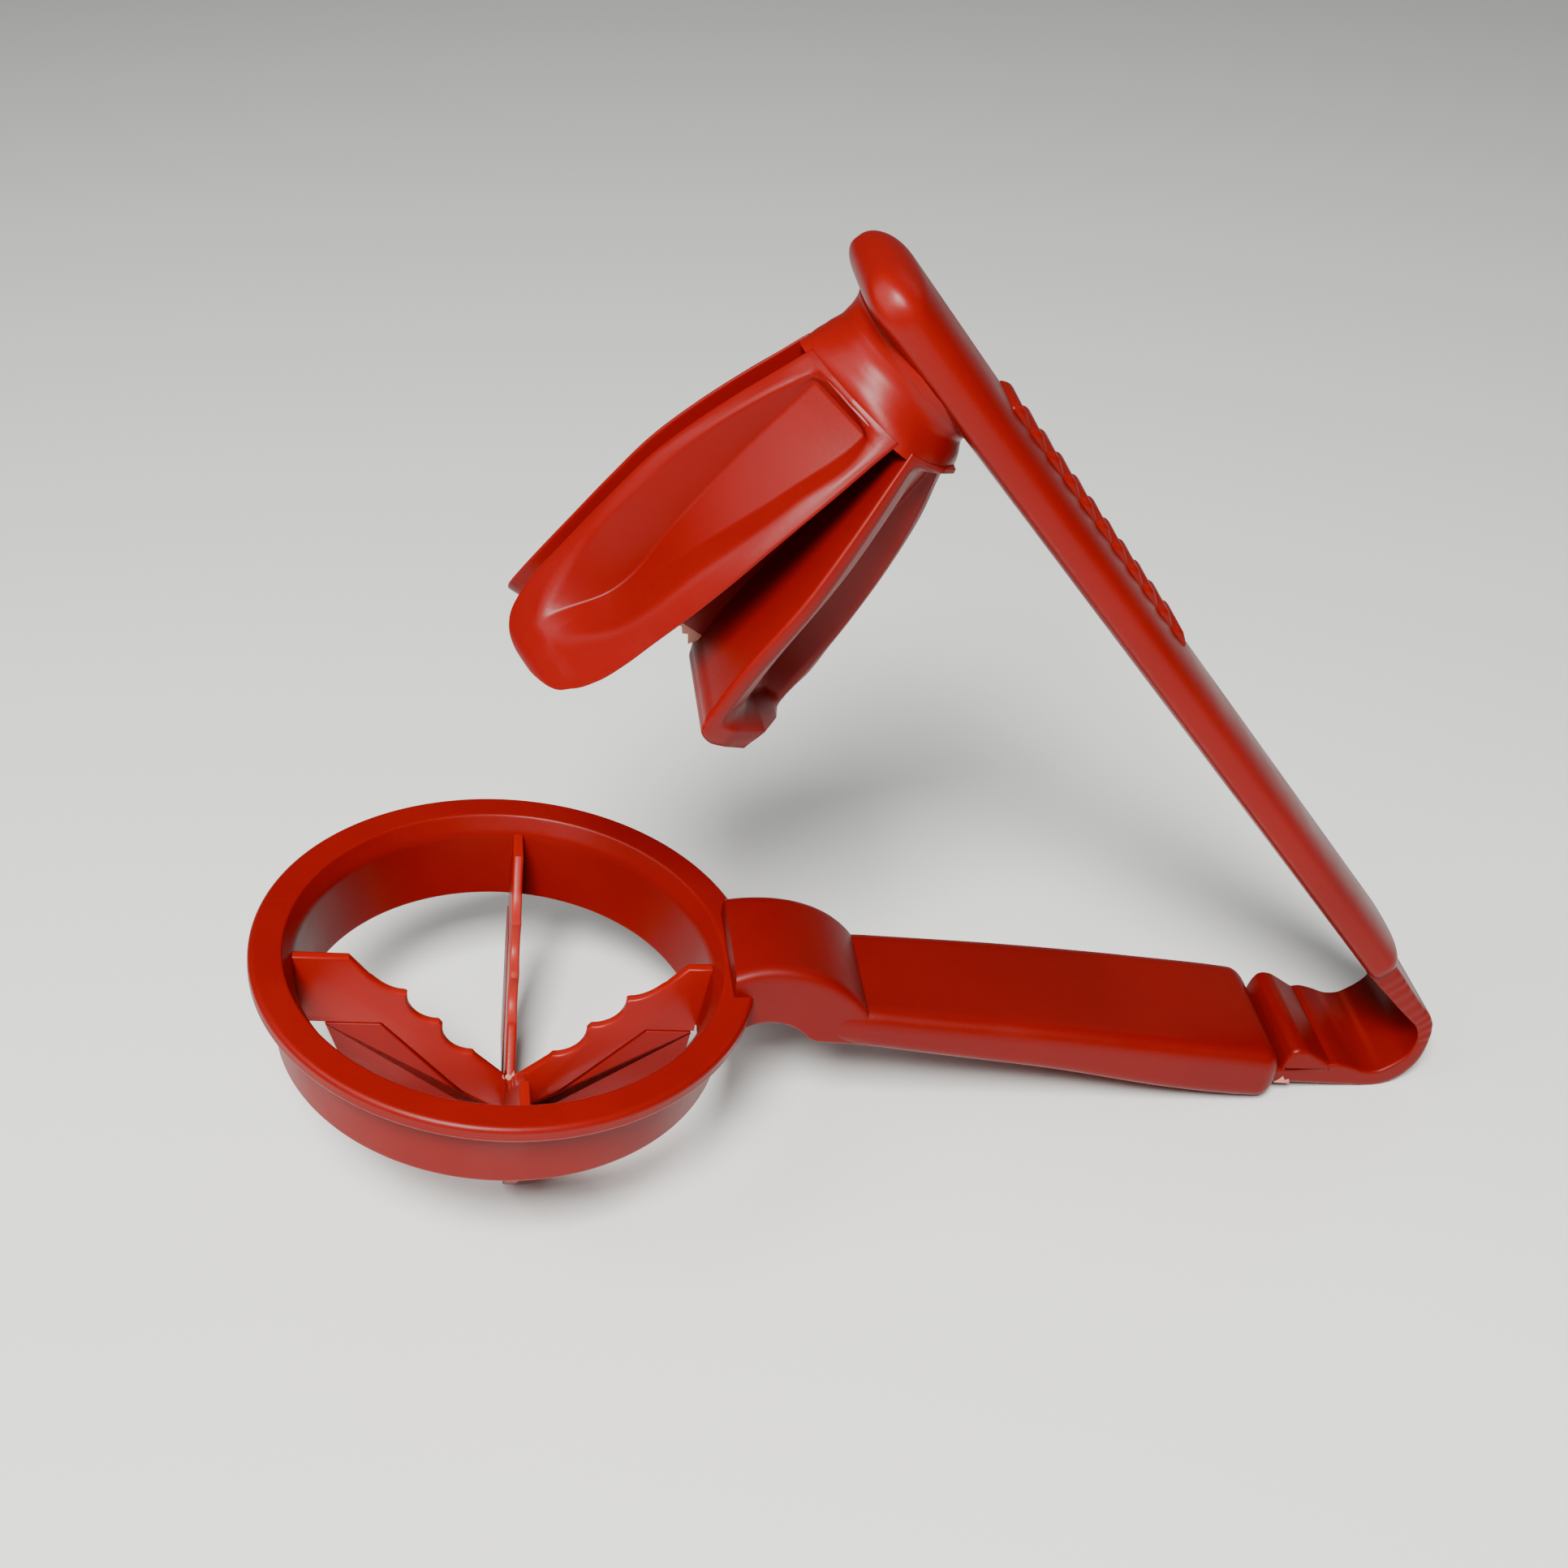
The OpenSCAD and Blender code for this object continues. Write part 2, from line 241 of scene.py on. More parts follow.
def on_arm(p, angle):
    """Points of a piece drawn along +x, swung about the middle of the blade cross to its own arm."""
    c, s = np.cos(angle), np.sin(angle)
    return np.stack([cross_middle + p[..., 0] * c - p[..., 1] * s, p[..., 0] * s + p[..., 1] * c, p[..., 2]], -1)


bite = np.linspace(0, np.pi / 2, 9)
scallops = np.concatenate([
    [(0.0, -0.734), (0.149, -0.592)],
    np.stack([0.294 - 0.130 * (1 - np.sin(bite)), -0.572 + 0.130 * (1 - np.cos(bite))], -1), [(0.294, -0.425)],
    np.stack([0.442 - 0.132 * (1 - np.sin(bite)), -0.405 + 0.132 * (1 - np.cos(bite))], -1), [(0.442, -0.257)],
    [(0.456, -0.251), (0.475, -0.249), (0.495, -0.243), (0.513, -0.235), (0.530, -0.225), (0.545, -0.214),
     (0.558, -0.203), (0.580, -0.182), (0.594, -0.171), (0.675, -0.073)]])
# each blade's direction, and how much longer it is than one from the ring's own middle
blades = {"blade_left": (np.pi, cross_middle), "blade_right": (0.0, -cross_middle),
          "blade_near": (-np.pi / 2, -0.002), "blade_far": (np.pi / 2, -0.002)}
for name, (angle, longer) in blades.items():
    wall_side = [(0.846 + longer, -0.073), (0.822 + longer, -0.372), (0.800 + longer, -0.381),
                 (0.798 + longer, -0.415)]
    outline = np.concatenate([scallops, wall_side, [(0.54, -0.415), (0.10, -0.90), (0.0, -0.90)]])
    rings = plate(outline, blade_half, 0.55 * blade_half)
    # The lower cutting edge is painted paler: a painted highlight for the light that glints on the thin edge and
    # shines through it, four times stronger on the far blade than on the others.
    edge = np.zeros(rings.shape[:2])
    edge[1:-1, 3:len(scallops)] = 0.55
    painted_edge_highlight = edge * (rings[..., 2] < -0.2) * (0.4 if name == "blade_far" else 0.1)
    moulding(name, from_ring(on_arm(rings, angle)), "base", [name], blade_red_painted_light, thin=painted_edge_highlight)

# ---- Ribs and hub ----
# A slightly thicker rib stands under each blade and stiffens it, and the four meet in a square post
# at the middle. One foot is what the tool stands on at this end. Moulded with the blades.
rib_half = 0.00087 / u
bore = 0.785
rib_outline = rounded([(0.03, -0.90), (0.1128, -0.90), (0.54, -0.415), (0.763, -0.415), (0.706, -0.578),
                       (0.680, -0.600), (0.455, -0.872), (0.43, -0.90)],
                      [0.0, 0.0, 0.004, 0.006, 0.012, 0.012, 0.012, 0.006], 4)
rib_outline = rib_outline[np.linalg.norm(np.roll(rib_outline, -1, 0) - rib_outline, axis=1) > 1e-6]
for name, (angle, longer) in blades.items():
    rib = np.stack([np.minimum(rib_outline[:, 0], bore - cross_middle * np.cos(angle)), rib_outline[:, 1]], -1)
    rib_name = name.replace("blade", "rib")
    moulding(rib_name, from_ring(on_arm(plate(rib, rib_half, 0.006), angle)), "base", [rib_name], ring_red)
hub_outline = np.array([(-rib_half, -0.90), (rib_half, -0.90), (rib_half, -0.702), (0.0, -0.730),
                        (-rib_half, -0.702)])
moulding("hub", from_ring(on_arm(plate(hub_outline, rib_half, 0.004), 0.0)), "base", ["blade_hub"], ring_red)

# ---- Neck ----
# The arch that joins ring and lower handle: a saddle, half a drum across the tool, with a finger's
# width of hollow under it. Moulded with both.
neck_x = np.linspace(0.885, 1.47, 72)
neck_top = -0.36 + np.sqrt(0.485 ** 2 - (neck_x - 1.06) ** 2)
neck_low = np.maximum(-0.245, -0.36 + np.sqrt(np.maximum(0.21 ** 2 - (neck_x - 1.06) ** 2, 0)))
neck_low = np.where(neck_x > 1.3, -0.245, np.convolve(np.pad(neck_low, 3, "edge"), np.ones(7) / 7, "valid"))
neck_half = curve(neck_x, [0.885, 1.0, 1.15, 1.3, 1.42, 1.47], [0.262, 0.250, 0.248, 0.254, 0.262, 0.268])


def bar_rings(x, half, low, high, reach_low, reach_high, n=7):
    """Rings of a long bar: at each x an upright rounded rectangle, with its own half width, underside,
    top and corner reaches."""
    corners = np.stack([np.stack([-half, low], -1), np.stack([half, low], -1), np.stack([half, high], -1),
                        np.stack([-half, high], -1)], 1)
    reach = np.stack([reach_low, reach_low, reach_high, reach_high], 1)
    section = rounded(corners, reach, n)
    return np.stack([np.broadcast_to(x[:, None], section.shape[:2]), section[..., 0], section[..., 1]], -1)


# A darker copy of the one red, on the neck and lower handle: painted shade.
handle_red_painted_shade = polypropylene("red_polypropylene_handle_painted_shade", (0.150, 0.0014, 0.0006), (0.125, 0.0011, 0.0005), rough=0.42)
moulding("neck", from_ring(bar_rings(neck_x, neck_half, neck_low, neck_top, 0.02 + 0 * neck_x, 0.05 + 0 * neck_x)),
         "base", ["neck"], handle_red_painted_shade)

# ---- Lower handle ----
# The handle that lies in the palm: a solid bar, a little wider and thicker towards the hinge, with
# softly rounded edges and a squared, softened end. Moulded with the neck.
end_starts, end_length = 3.205, 0.078
handle_end = end_starts + end_length * np.sin(np.linspace(0.05, np.pi / 2, 18))
handle_x = np.r_[np.linspace(1.25, end_starts, 92), handle_end]


def falls(t):
    """How far a quarter circle has dropped: nothing up to 0, all of its radius at 1."""
    return 1 - np.sqrt(1 - np.clip(t, 0, 1) ** 2)


round_end = falls((handle_x - end_starts) / end_length)
handle_half = curve(handle_x, [1.25, 1.42, 1.60, 1.90, 2.25, 2.85, 3.30],
                    [0.236, 0.272, 0.282, 0.292, 0.299, 0.311, 0.314]) - 0.055 * round_end
handle_top = curve(handle_x, [1.25, 1.42, 1.70, 2.25, 2.85, 3.10, 3.30],
                   [-0.066, -0.068, -0.084, -0.118, -0.172, -0.196, -0.222]) - 0.062 * round_end
handle_low = curve(handle_x, [1.25, 1.42, 1.70, 2.25, 2.85, 3.10, 3.30],
                   [-0.236, -0.247, -0.274, -0.332, -0.422, -0.446, -0.452]) + 0.060 * round_end
handle_rings = bar_rings(handle_x, handle_half, handle_low, handle_top, 0.055 + 0 * handle_x, 0.075 + 0 * handle_x, 9)
moulding("lower_handle", from_ring(handle_rings), "base", ["lower_handle"], handle_red_painted_shade)

# ---- Hinge strap ----
# The strap that joins both handles and bends when they are squeezed: a living hinge, thinnest at its
# bend, whitened a little inside the bend where it has been worked. Moulded with both handles.
# A darker copy of the one red, on the strap and its ridge: painted shade. Its pale colour is the strap's real stress
# whitening.
strap_red_painted_shade = polypropylene("red_polypropylene_strap_painted_shade", (0.15, 0.0016, 0.0006), (0.12, 0.0012, 0.0005),
                          pale=(0.30, 0.02, 0.015), rough=0.42)
strap_inner = [(3.22, -0.330), (3.40, -0.318), (3.538, -0.290), (3.575, -0.289), (3.63, -0.303), (3.697, -0.325),
               (3.755, -0.322), (3.798, -0.295), (3.84, -0.255), (3.865, -0.215), (3.875, -0.16),
               (3.868, -0.11), (3.84, -0.06), (3.793, -0.019), (3.725, 0.04), (3.657, 0.101), (3.603, 0.149),
               (3.52, 0.225)]
strap_outer = [(3.22, -0.405), (3.40, -0.407), (3.52, -0.409), (3.58, -0.411), (3.64, -0.412), (3.725, -0.4138),
               (3.80, -0.402), (3.862, -0.366), (3.905, -0.31), (3.932, -0.242), (3.938, -0.15),
               (3.925, -0.061), (3.893, -0.002), (3.850, 0.040), (3.785, 0.108), (3.725, 0.174), (3.679, 0.224),
               (3.60, 0.305)]
strap_way = np.linspace(0, 17, 200)
inside, outside = curve(strap_way, np.arange(18), strap_inner), curve(strap_way, np.arange(18), strap_outer)
uneven = 0.0012 * np.sin(strap_way * 9.1) * (strap_way > 10)
strap_half = np.interp(strap_way, [0, 3, 17], [0.257, 0.260, 0.259]) + uneven
strap_wall = np.linalg.norm(outside - inside, axis=1)
strap_corners = np.stack([np.stack([-strap_half, 0 * strap_way], -1), np.stack([strap_half, 0 * strap_way], -1),
                          np.stack([strap_half, strap_wall], -1), np.stack([-strap_half, strap_wall], -1)], 1)
strap_section = rounded(strap_corners, np.array([0.014, 0.014, 0.024, 0.024]), 5)
across = (outside - inside) / strap_wall[:, None]
strap_points = inside[:, None, :] + across[:, None, :] * strap_section[..., 1:]
strap_rings = np.stack([strap_points[..., 0], strap_section[..., 0], strap_points[..., 1]], -1)
first_crease = np.exp(-((strap_way[:, None] - 4.6) / 0.35) ** 2) * (strap_section[..., 0] > 0.02)
second_crease = np.exp(-((strap_way[:, None] - 6.4) / 0.3) ** 2) * (strap_section[..., 0] > 0.08)
worked = first_crease + second_crease
strap = moulding("strap", from_ring(strap_rings), None, ["strap_lower", "strap_bend", "strap_upper"], strap_red_painted_shade,
                 thin=0.35 * worked * (strap_section[..., 1] < 0.03))
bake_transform(strap)

# ---- Strap ridge ----
# A raised bar across the strap, just behind the lower handle's end. Part of the same moulding.
ridge_outline = rounded([(3.305, -0.335), (3.318, -0.262), (3.335, -0.225), (3.36, -0.212), (3.40, -0.216),
                         (3.45, -0.245), (3.50, -0.275), (3.545, -0.300), (3.545, -0.335)], 0.014, 4)
moulding("strap_ridge", from_ring(plate(ridge_outline, 0.260, 0.022)), "base", ["strap_ridge"], strap_red_painted_shade)

# ---- Upper handle ----
# The bar that is pressed: rounded on its outer face, flatter inside, with a full round free end that
# reaches past the plunger. Solid polypropylene.
lever_red = polypropylene("red_polypropylene_lever", (0.18, 0.0016, 0.0006), (0.15, 0.0013, 0.0005), rough=0.36)
bar_start = np.array([1.289, 0, 2.476])
bar_slope = np.radians(45.37)


def from_bar(p):
    """Points given along the upper handle, x towards the hinge and z out of its outer face, turned into the
    ring's own frame and on to the row frame."""
    x, y, z = np.moveaxis(np.asarray(p, float), -1, 0)
    c, s = np.cos(bar_slope), np.sin(bar_slope)
    return from_ring(bar_start + np.stack([x * c + z * s, y, -x * s + z * c], -1))


free_end = -0.595 + 0.17 * (1 - np.cos(np.linspace(0.12, np.pi / 2, 26)))
hinged_end = 3.25 - 0.10 * (1 - np.sin(np.linspace(0.05, np.pi / 2 - 0.08, 16)))
bar_x = np.r_[free_end, np.linspace(-0.41, 3.14, 80), hinged_end]
free, hinged = np.clip((-0.425 - bar_x) / 0.17, 0, 1), np.clip((bar_x - 3.15) / 0.10, 0, 1)
bar_thick = np.interp(bar_x, [-0.45, 0.15, 3.15], [0.196, 0.183, 0.172])
bar_half = np.interp(bar_x, [-0.595, 1.4, 3.24], [0.300, 0.300, 0.291]) - 0.17 * falls(free) - 0.10 * falls(hinged)
bar_low = 0.080 * falls((free - 0.35) / 0.65) + 0.05 * falls((hinged - 0.4) / 0.6)
bar_high = bar_thick - 0.105 * falls((free - 0.15) / 0.85) - 0.06 * falls((hinged - 0.3) / 0.7)
bar_round = np.linspace(0, 2 * np.pi, 72, endpoint=False)[None]
bar_belly = bar_low + 0.45 * (bar_high - bar_low)
outward = np.sin(bar_round) > 0
bar_power = np.where(outward, 0.74, 0.42)
bar_y = bar_half[:, None] * np.sign(np.cos(bar_round)) * np.abs(np.cos(bar_round)) ** bar_power
bar_reach = np.where(outward, (bar_high - bar_belly)[:, None], (bar_belly - bar_low)[:, None])
bar_z = bar_belly[:, None] + bar_reach * np.sign(np.sin(bar_round)) * np.abs(np.sin(bar_round)) ** bar_power
moulding("upper_handle", from_bar(np.stack([bar_x[:, None] + 0 * bar_y, bar_y, bar_z], -1)), "lever",
         ["upper_handle"], lever_red, sharp=60, ends_flat=False)

# ---- Grip ridges ----
# Eleven low saw-toothed ridges across the outer face, where the fingers press. Moulded with the handle.
ridges_start, ridge_pitch, ridge_height = 0.105, 0.1127, 0.0286
tooth = np.array([(0.0, 0.30), (0.25, 0.95), (0.45, 1.0), (0.97, 0.34)])
teeth = (tooth[None] + np.arange(11)[:, None, None] * np.array([1.0, 0])).reshape(-1, 2)
teeth = np.concatenate([[(0.0, -0.02)], teeth * np.array([ridge_pitch, ridge_height]), [(1.24, -0.02)]])
ridge_line = rounded(teeth + np.array([ridges_start, 0.1800]), 0.008, 3)
ridge_line[:, 1] -= 0.0035 * (ridge_line[:, 0] - ridges_start)
moulding("grip_ridges", from_bar(plate(ridge_line, 0.11, 0.016)), "lever", ["grip_ridges"], lever_red)

# ---- Plunger head ----
# The stout round foot that carries the plunger under the upper handle, and the shoulder where it
# spreads into the four pods. Solid polypropylene, with soft fillets at both ends.
plunger_start = np.array([1.094, 0, 2.458])
plunger_lean = np.radians(31.7)


def from_plunger(p):
    """Points given down the plunger, x towards the hinge and the last number the depth below its shoulder,
    turned into the ring's own frame and on to the row frame."""
    x, y, depth = np.moveaxis(np.asarray(p, float), -1, 0)
    c, s = np.cos(plunger_lean), np.sin(plunger_lean)
    return from_ring(plunger_start + np.stack([x * c - depth * s, y, -x * s - depth * c], -1))


envelope_depth = [-0.10, 0.0, 0.10, 0.27, 0.40, 0.60, 0.80, 1.0, 1.2, 1.45]
envelope_size = [0.322, 0.370, 0.405, 0.465, 0.505, 0.552, 0.572, 0.585, 0.597, 0.605]
turn = np.linspace(0, 2 * np.pi, 144, endpoint=False)[None]
rise = np.linspace(0, 1, 56)[:, None]
gap = bar_slope - plunger_lean
foot = bar_start - plunger_start
foot_up = foot[0] * np.sin(plunger_lean) + foot[2] * np.cos(plunger_lean)
foot_along = foot[0] * np.cos(plunger_lean) - foot[2] * np.sin(plunger_lean)
meet = foot_up - (0.275 * np.cos(turn) - foot_along) * np.tan(gap)
height = np.where(rise < 0.45, -0.02 + 0.17 * rise / 0.45, 0.15 + (meet + 0.03 - 0.15) * (rise - 0.45) / 0.55)
size = curve(np.clip(height, -0.02, 0.16).ravel(), [-0.02, 0.0, 0.03, 0.06, 0.085, 0.11, 0.16],
             [0.372, 0.364, 0.342, 0.315, 0.296, 0.284, 0.278]).reshape(height.shape)
near_bar = np.clip(1 - (meet - height) / 0.05, 0, 1)
size = size + 0.012 * falls(np.minimum(near_bar, 0.98)) + 0.03 * np.clip(height - 0.16, 0, 1)
power = np.interp(height, [0.0, 0.10], [1.5, 2.0])
reach = size / (np.abs(np.cos(turn)) ** power + np.abs(np.sin(turn)) ** power) ** (1 / power)
hinge_side = 1 - 0.12 * np.clip(np.cos(turn), 0, 1) * np.clip((0.1 - height) / 0.1, 0, 1)
head_x = hinge_side * reach * np.cos(turn) - 0.03 * np.clip(height / 0.08, 0, 1)
head_rings = np.stack([head_x, reach * np.sin(turn), -height], -1)
moulding("plunger_head", from_plunger(head_rings), "lever", ["collar", "crown"], lever_red, sharp=60)

# ---- Core ----
# The oblong rod down the middle of the plunger, which comes down on the blade hub when the tool is
# squeezed shut. Moulded with the pods.
core_side = 0.083
core_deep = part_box("core")[1][1] / u
core_depth = np.r_[-0.02, np.linspace(0.0, 1.03, 12), 1.037, 1.04]
core_worn = np.r_[np.zeros(13), 0.003, 0.010]
core_half = np.stack([core_side - core_worn, core_deep - core_worn], -1)
core_corner = rounded(core_half[:, None, :] * np.array([(-1, -1), (1, -1), (1, 1), (-1, 1)]), 0.012, 5)
core_rings = np.stack([core_corner[..., 0], core_corner[..., 1],
                       np.broadcast_to(core_depth[:, None], core_corner.shape[:2])], -1)
moulding("core", from_plunger(core_rings), "lever", ["core"], lever_red)

# ---- Pods ----
# The four fingers that push the fruit through: long ones on the free side, short ones by the hinge.
# Each is hollowed by a V-shaped pocket inside a rounded rim, to keep the moulding's walls even.
# A slightly darker copy of the upper handle's red, on the pods: painted shade.
pod_red_painted_shade = polypropylene("red_polypropylene_pods_painted_shade", (0.165, 0.0014, 0.0005), (0.135, 0.0011, 0.0004), rough=0.38)
slot_half = 0.0019 / u
no_limit = 9.0


def on_envelope(size, x=None, y=None):
    """The third side of the rounded diamond, whose two half widths raised to the power 1.5 add up to its
    size raised to that power: y where x is given, x where y is given."""
    known = np.abs(x if y is None else y)
    return np.maximum(size ** 1.5 - known ** 1.5, 1e-6) ** (2 / 3)


def pod_rings(depth, cross, slot, size, limit, bevel, pocket, opens):
    """Rings of one pod, looking down the plunger. Corners: the inner one, the slot face's outer edge, the
    rim, the pocket's four corners, the rim again and the cross slot face's outer edge. Where the pocket
    isn't open yet, its corners lie on the pod's outer skin. The limit is the greatest x, and the bevel the
    greatest sum of x and half of y."""
    b_x = np.minimum(on_envelope(size, y=slot), limit)
    f_y = on_envelope(size, x=cross)

    def skin(part):
        """Points of the outer skin, part of the way from the slot face to the cross slot."""
        angle = np.arctan2(slot, b_x) * (1 - part) + np.arctan2(f_y, cross) * part
        c, s = np.cos(angle), np.sin(angle)
        r = size / (c ** 1.5 + np.abs(s) ** 1.5) ** (1 / 1.5)
        r = np.minimum(r, np.minimum(limit / np.maximum(c, 1e-3), bevel / (c + 0.5 * s)))
        return np.stack([r * c, r * s], -1)

    rim = [skin(0.14), skin(0.30), skin(0.55), skin(0.82)]
    way = opens[:, None]
    pocket_corners = [r * (1 - way) + p * way for r, p in zip(rim, pocket)]
    first, last = skin(0.05), skin(0.93)
    corners = np.stack([np.stack([cross, slot], -1), np.stack([b_x, slot], -1), first, *pocket_corners, last,
                        np.stack([cross, f_y], -1)], 1)
    reach = np.array([0.012, 0.034, 0.03, 0.032, 0.008, 0.008, 0.032, 0.03, 0.036])
    section = rounded(corners, reach, 6)
    return np.stack([section[..., 0], section[..., 1], np.broadcast_to(depth[:, None], section.shape[:2])], -1)


outer_tip, outer_tip_length = 1.36, 0.066
outer_depth = np.r_[np.linspace(-0.004, 0.16, 26), np.linspace(0.18, 1.20, 60), np.linspace(1.215, outer_tip, 24),
                    outer_tip + outer_tip_length * np.sin(np.linspace(0.08, np.pi / 2, 20))]
outer_cross = curve(outer_depth, [-0.01, 0.18, 0.5, 0.84, 1.01, 1.13, 1.24, 1.33, 1.395, 1.43],
                    [0.03, 0.08, 0.158, 0.218, 0.25, 0.272, 0.30, 0.34, 0.392, 0.46])
outer_slot = curve(outer_depth, [-0.01, 0.6, 1.10, 1.20, 1.29, 1.37, 1.41, 1.43],
                   [slot_half, slot_half, slot_half, 0.055, 0.072, 0.115, 0.168, 0.22])
outer_size = curve(outer_depth, envelope_depth, envelope_size) - 0.035 * falls((outer_depth - outer_tip) / 0.0665)
outer_pocket = [curve(outer_depth, [0.0, 0.05, 0.35, 0.70, 1.06, 1.28, 1.43], p) for p in (
    [(0.300, 0.135), (0.330, 0.130), (0.450, 0.112), (0.518, 0.108), (0.540, 0.130), (0.525, 0.190), (0.50, 0.24)],
    [(0.290, 0.125), (0.295, 0.125), (0.325, 0.125), (0.345, 0.140), (0.365, 0.160), (0.505, 0.215), (0.47, 0.26)],
    [(0.110, 0.270), (0.110, 0.280), (0.190, 0.305), (0.290, 0.285), (0.365, 0.225), (0.470, 0.265), (0.46, 0.28)],
    [(0.130, 0.300), (0.115, 0.330), (0.185, 0.405), (0.275, 0.418), (0.350, 0.392), (0.440, 0.305), (0.45, 0.30)])]
outer_open = np.clip((outer_depth - 0.012) / 0.045, 0, 1) * np.clip((1.325 - outer_depth) / 0.05, 0, 1)
outer_rings = pod_rings(outer_depth, outer_cross, outer_slot, outer_size, no_limit, no_limit, outer_pocket,
                        outer_open)

inner_tip, inner_tip_length = 1.12, 0.052
inner_depth = np.r_[np.linspace(-0.004, 0.16, 26), np.linspace(0.18, 1.02, 52), np.linspace(1.03, inner_tip, 16),
                    inner_tip + inner_tip_length * np.sin(np.linspace(0.08, np.pi / 2, 16))]
inner_cross = curve(inner_depth, [-0.01, 0.5, 1.03, 1.10, 1.15, 1.175], [0.02, 0.02, 0.02, 0.03, 0.065, 0.13])
inner_slot = curve(inner_depth, [-0.01, 0.5, 0.95, 1.05, 1.11, 1.165, 1.175],
                   [slot_half, slot_half, slot_half, 0.055, 0.08, 0.14, 0.18])
inner_size = curve(inner_depth, envelope_depth, envelope_size) - 0.03 * falls((inner_depth - inner_tip) / 0.0525)
inner_limit = curve(inner_depth, [-0.01, 0.1, 0.2, 0.4, 0.6, 0.8, 1.0, 1.06, 1.12, 1.175],
                    [0.27, 0.305, 0.34, 0.385, 0.415, 0.435, 0.440, 0.420, 0.370, 0.29])
inner_bevel = curve(inner_depth, [-0.01, 0.2, 0.6, 0.96, 1.06, 1.12, 1.175],
                    [0.36, 0.42, 0.500, 0.530, 0.520, 0.510, 0.50])
inner_pocket = [curve(inner_depth, [0.0, 0.05, 0.35, 0.90, 1.05, 1.18], p) for p in (
    [(0.240, 0.115), (0.255, 0.12), (0.345, 0.125), (0.408, 0.130), (0.395, 0.18), (0.36, 0.22)],
    [(0.220, 0.120), (0.225, 0.12), (0.230, 0.120), (0.240, 0.125), (0.30, 0.20), (0.30, 0.22)],
    [(0.130, 0.235), (0.130, 0.25), (0.140, 0.270), (0.165, 0.290), (0.22, 0.28), (0.26, 0.28)],
    [(0.110, 0.270), (0.115, 0.290), (0.135, 0.375), (0.150, 0.425), (0.18, 0.40), (0.22, 0.35)])]
inner_open = np.clip((inner_depth - 0.012) / 0.045, 0, 1) * np.clip((1.085 - inner_depth) / 0.05, 0, 1)
inner_rings = pod_rings(inner_depth, inner_cross, inner_slot, inner_size, inner_limit, inner_bevel, inner_pocket,
                        inner_open)

for name, rings, flip in (("pod_near_outer", outer_rings, (-1, -1, 1)), ("pod_far_outer", outer_rings, (-1, 1, 1)),
                          ("pod_near_inner", inner_rings, (1, -1, 1)), ("pod_far_inner", inner_rings, (1, 1, 1))):
    moulding(name, from_plunger(rings * np.array(flip)), "lever", [name], pod_red_painted_shade, sharp=45)

# ---- Flash ----
# Ragged slivers left where the mould's halves met: under the core's end, at the blades' meeting point
# and beside the strap ridge. The same plastic, thin enough to look milky.
flash_red = polypropylene("red_polypropylene_flash", (0.62, 0.32, 0.25), (0.45, 0.12, 0.08), rough=0.5)
core_flash = plate(np.array([(-0.085, 0.02), (0.085, 0.02), (0.088, -0.012), (0.064, -0.006), (0.052, -0.040),
                             (0.036, -0.014), (0.020, -0.022), (0.004, -0.052), (-0.022, -0.020), (-0.040, -0.030),
                             (-0.060, -0.008), (-0.086, -0.016)]), 0.006, 0.003)
core_flash = np.stack([core_flash[..., 0], core_flash[..., 1] - core_deep + 0.008, 1.04 - core_flash[..., 2]], -1)
moulding("core_flash", from_plunger(core_flash), "lever", [], flash_red)
blade_flash = plate(np.array([(-0.035, -0.75), (0.035, -0.75), (0.036, -0.690), (0.022, -0.708), (0.012, -0.672),
                              (0.002, -0.700), (-0.012, -0.685), (-0.026, -0.712), (-0.034, -0.695)]), 0.006, 0.003)
moulding("blade_flash", from_ring(on_arm(blade_flash, 0.0) + np.array([0, -0.012, 0])), "base", [], flash_red)
ridge_flash = plate(np.array([(3.300, -0.400), (3.372, -0.404), (3.362, -0.378), (3.346, -0.386), (3.330, -0.362),
                              (3.318, -0.380)]), 0.005, 0.003)
moulding("ridge_flash", from_ring(ridge_flash + np.array([0, -0.256, 0])), "base", [], flash_red)

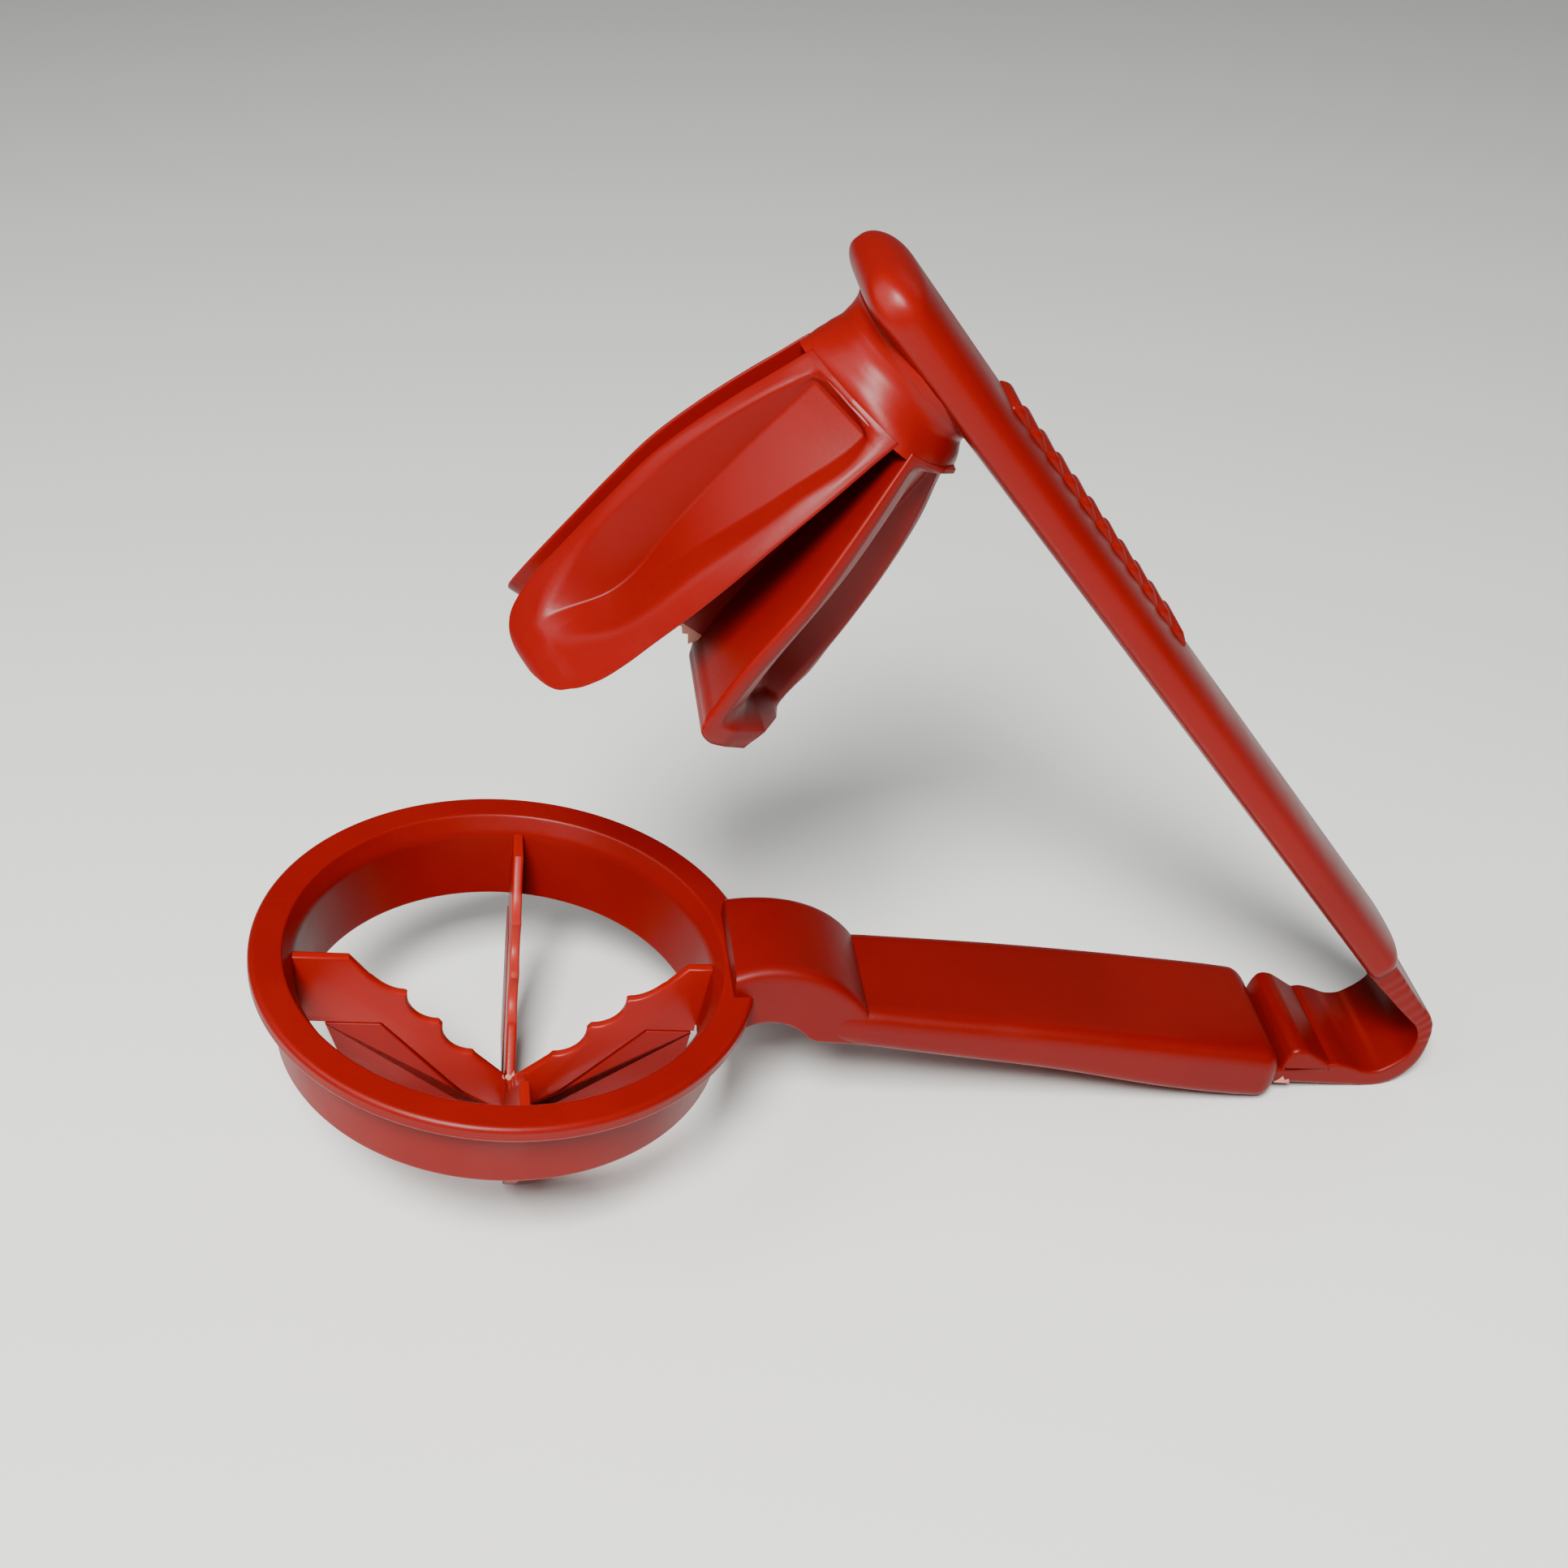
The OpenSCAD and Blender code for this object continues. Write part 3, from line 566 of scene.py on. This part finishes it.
# ---- Table, light and camera ----
# A pale, faintly glossy table top under a soft overhead light on the near side, with a weak fill and a
# broad ceiling light on the left, and the camera.
tabletop = bpy.data.materials.new("pale_table")
tabletop.use_nodes = True
nodes, links = tabletop.node_tree.nodes, tabletop.node_tree.links
place = nodes.new("ShaderNodeTexCoord")
cloud = nodes.new("ShaderNodeTexNoise")
cloud.inputs["Scale"].default_value = 3
links.new(place.outputs["Object"], cloud.inputs["Vector"])
tone = nodes.new("ShaderNodeValToRGB")
tone.color_ramp.elements[0].color, tone.color_ramp.elements[1].color = (0.74, 0.745, 0.715, 1), (0.80, 0.80, 0.775, 1)
links.new(cloud.outputs["Fac"], tone.inputs["Fac"])
links.new(tone.outputs["Color"], nodes["Principled BSDF"].inputs["Base Color"])
nodes["Principled BSDF"].inputs["Roughness"].default_value = 0.14
table_mesh = bpy.data.meshes.new("table")
table_mesh.from_pydata([(-4, -4, 0), (4, -4, 0), (4, 4, 0), (-4, 4, 0)], [], [(0, 1, 2, 3)])
table_mesh.materials.append(tabletop)
table = bpy.data.objects.new("table", table_mesh)
bpy.context.scene.collection.objects.link(table)


def soft_light(name, at, towards, size, watts, colour):
    """A square area light at one point, facing another."""
    light = bpy.data.lights.new(name, "AREA")
    light.shape, light.size, light.energy, light.color = "SQUARE", size, watts, colour
    lamp = bpy.data.objects.new(name, light)
    away = np.array(at, float) - np.array(towards, float)
    away /= np.linalg.norm(away)
    side = np.cross((0, 1, 0.001), away)
    side /= np.linalg.norm(side)
    place = np.eye(4)
    place[:3] = np.stack([side, np.cross(away, side), away, np.array(at, float)], 1)
    lamp.matrix_world = Matrix(place.tolist())
    bpy.context.scene.collection.objects.link(lamp)


soft_light("overhead", (-0.13, -0.40, 0.62), (0, 0, 0.03), 0.22, 14.0, (1.0, 0.99, 0.97))
soft_light("side_fill", (0.9, 0.7, 0.9), (0.1, 0.3, 0), 0.8, 1.2, (0.96, 0.98, 1.0))
soft_light("ceiling", (-0.50, -0.10, 0.70), (0, 0, 0.06), 0.45, 2.8, (0.98, 0.99, 1.0))
world = bpy.data.worlds.new("studio")
world.use_nodes = True
world.node_tree.nodes["Background"].inputs["Color"].default_value = (0.80, 0.83, 0.82, 1)
world.node_tree.nodes["Background"].inputs["Strength"].default_value = 0.14
bpy.context.scene.world = world

lens = bpy.data.cameras.new("camera")
lens.lens, lens.sensor_width = 44.72, 36.0
camera = bpy.data.objects.new("camera", lens)
camera.matrix_world = Matrix(((0.99220, 0.07193, -0.10174, -0.03815), (-0.12456, 0.58924, -0.79830, -0.20773),
                              (0.00253, 0.80475, 0.59360, 0.21299), (0, 0, 0, 1)))
bpy.context.scene.collection.objects.link(camera)
bpy.context.scene.camera = camera
